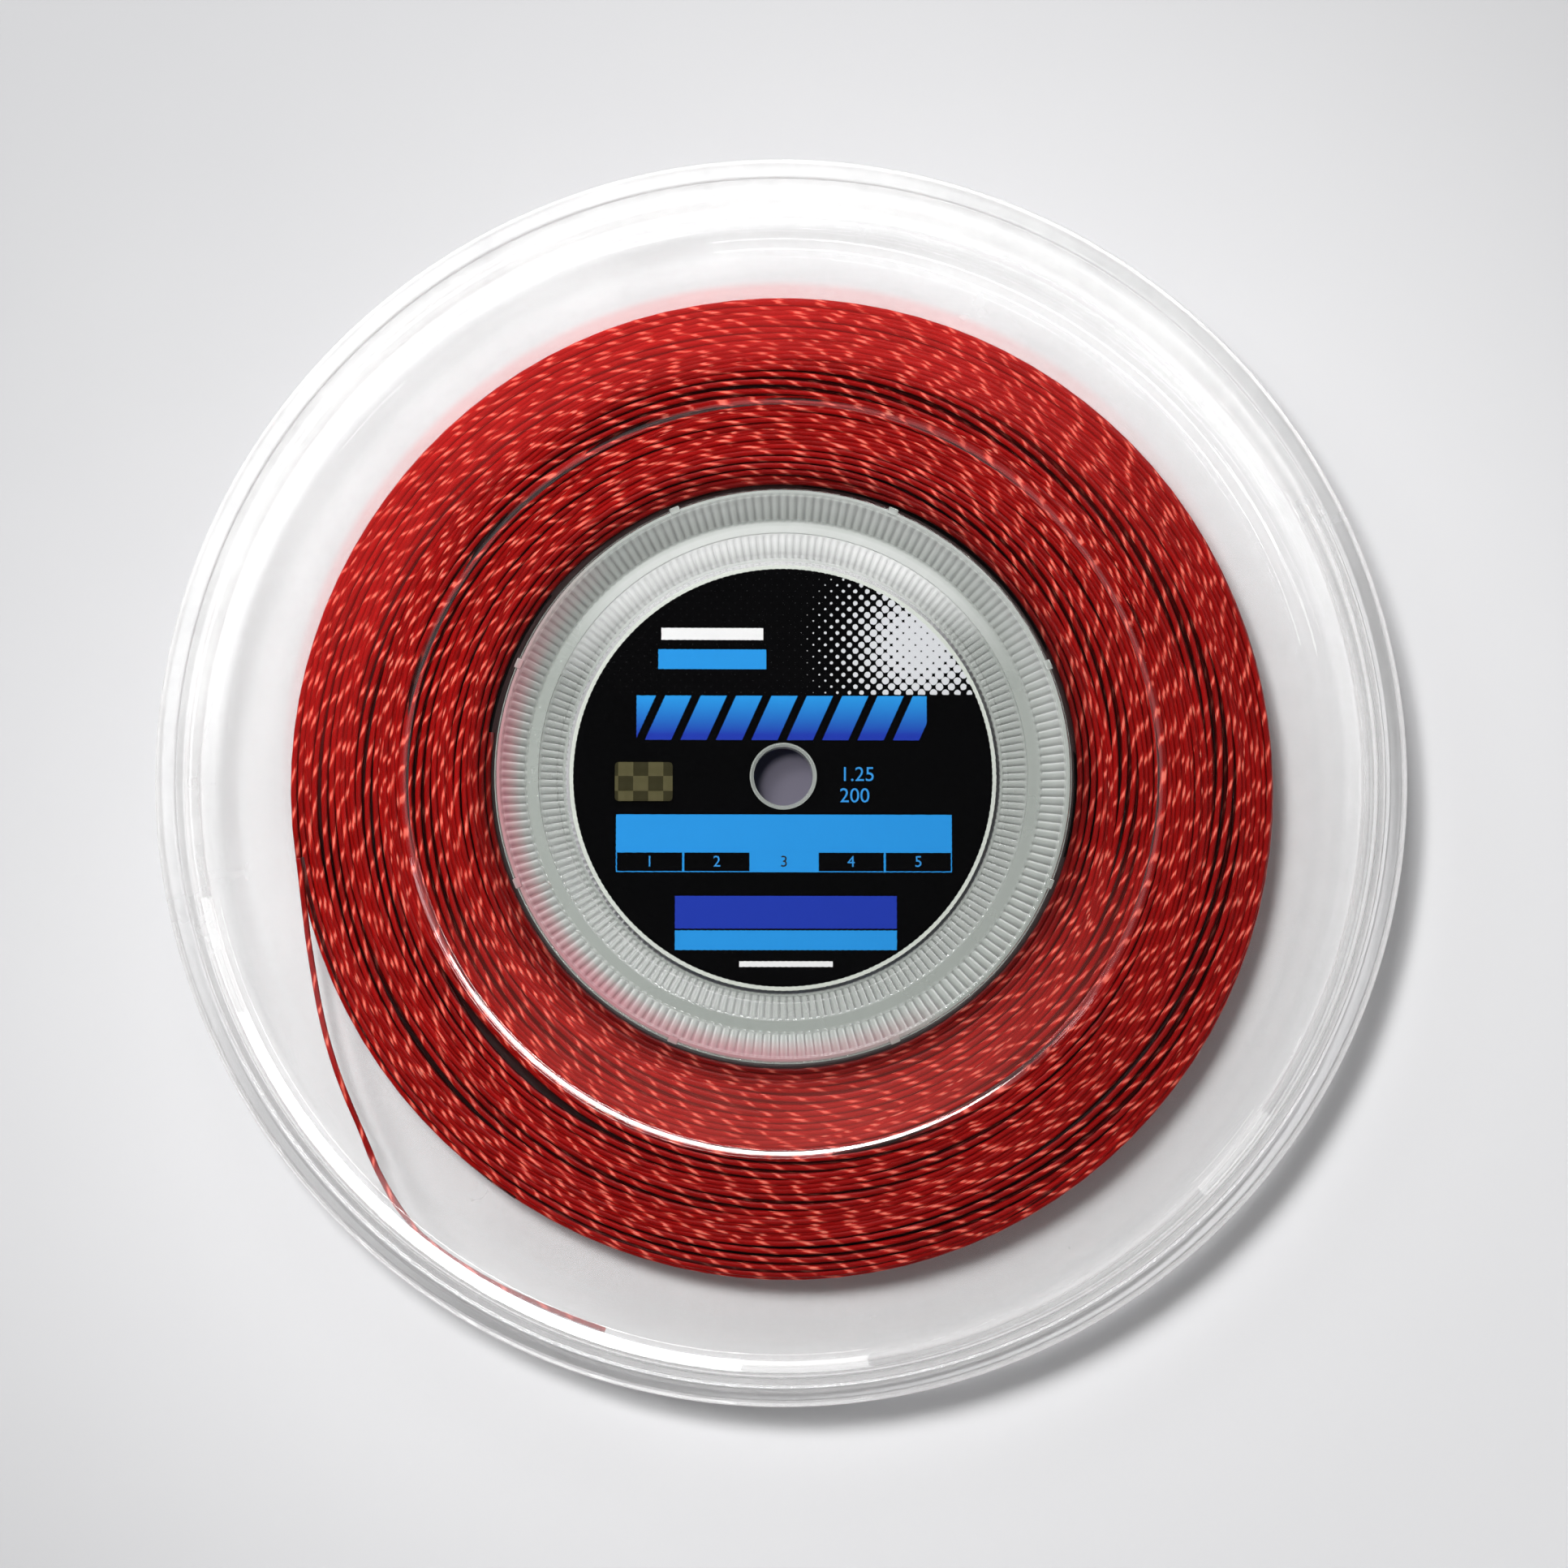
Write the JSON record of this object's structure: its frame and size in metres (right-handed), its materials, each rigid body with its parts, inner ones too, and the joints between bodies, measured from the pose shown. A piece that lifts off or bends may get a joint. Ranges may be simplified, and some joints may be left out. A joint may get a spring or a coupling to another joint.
{
  "type": "racket string reel",
  "caption": "Clear plastic spool of red racket string: dished flanges on a drum, fluted hub collars and cups, a round black label under a clear floor, and a loose string end inside the rim.",
  "frame": {"origin": "on the reel's axis, in the plane of the rear rim that the reel lies on", "axes": "+Z along the axis from the rear flange to the front flange, which carries the main label; +Y is the top of the label and +X its right"},
  "size_m": [0.265, 0.265, 0.026],
  "materials": {
    "flange_plastic": "clear moulded polystyrene, glossy, faintly hazy",
    "hub_plastic": "clear moulded polystyrene, fluted, faintly grey-green",
    "label_card": "printed card behind a clear floor",
    "seal_foil": "dark metallised film",
    "red_string": "nylon monofilament with pearly wraps"
  },
  "bodies": {
    "root": {"front_flange": "flange_plastic", "rear_flange": "flange_plastic", "drum": "flange_plastic", "front_collar": "hub_plastic", "rear_collar": "hub_plastic", "front_cup": "hub_plastic", "rear_cup": "hub_plastic", "centre_bush": "hub_plastic", "front_label": "label_card", "rear_label": "label_card", "foil_seal": "seal_foil", "string_winding": "red_string", "string_outer_turns": "red_string", "string_start_knot": "red_string", "string_tail": "red_string"}
  },
  "joints": []
}
